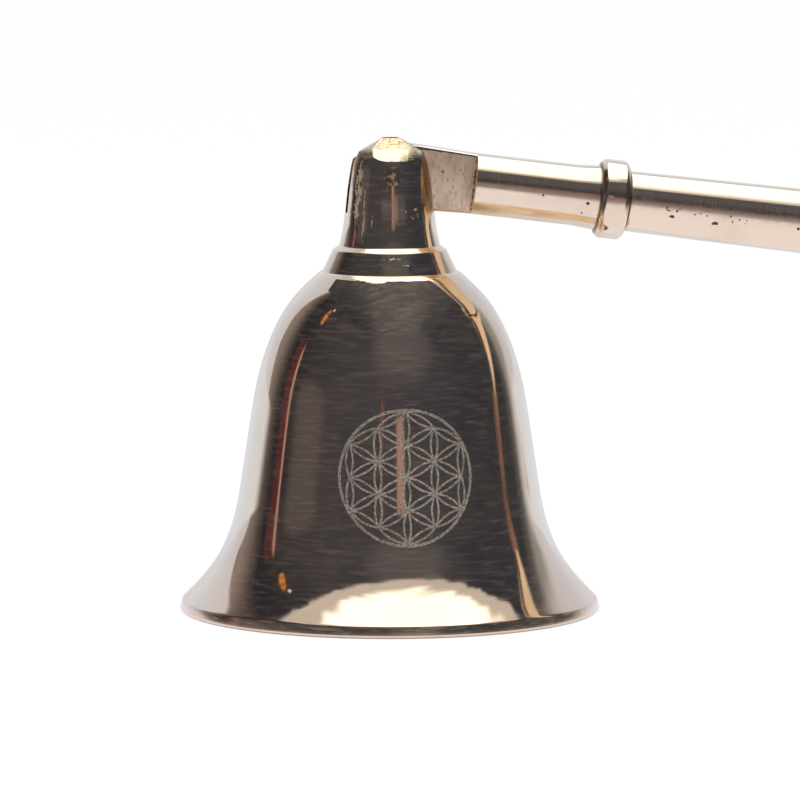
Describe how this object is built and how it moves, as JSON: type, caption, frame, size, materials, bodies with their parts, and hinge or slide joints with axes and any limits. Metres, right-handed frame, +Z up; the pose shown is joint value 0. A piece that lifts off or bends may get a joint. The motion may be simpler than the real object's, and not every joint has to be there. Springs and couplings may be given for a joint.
{
  "type": "candle snuffer",
  "caption": "Bell-shaped candle snuffer: flared brass cup with a slotted post on its crown, hinged by a pin to a long handle with a turned wooden grip.",
  "frame": {"origin": "centre of the bell's mouth, in the plane of the rim", "axes": "+Z up the bell's axis to the post, +X towards the handle, -Y towards the front with the engraved ornament"},
  "size_m": [0.2192, 0.0448, 0.0505],
  "materials": {
    "bell_brass": "mirror-polished pale brass, fine turning scratches, engraved lines left matt",
    "post_brass": "polished, its cap left filed and granular",
    "pin_brass": "hammered flush and filed, more golden",
    "fixing_brass": "plain machined",
    "neck_brass": "polished rod, tongue filed matt",
    "collar_brass": "polished, dark seam at its edges",
    "shank_brass": "polished with small casting pits",
    "grip_wood": "turned reddish-brown hardwood, oiled and rubbed"
  },
  "bodies": {
    "head": {"bell": "bell_brass", "slotted_post": "post_brass", "post_washer": "fixing_brass", "post_nut": "fixing_brass", "pivot_pin": "pin_brass"},
    "handle": {"handle_neck": "neck_brass", "neck_collar": "collar_brass", "handle_shank": "shank_brass", "handle_grip": "grip_wood", "end_collar": "collar_brass", "end_knob": "shank_brass"}
  },
  "joints": [
    {"name": "handle_hinge", "type": "hinge", "parent": "head", "child": "handle", "pos_m": [0, 0, 0.04665], "axis": [0, -1, 0], "range_deg": [0, 193.5]}
  ]
}
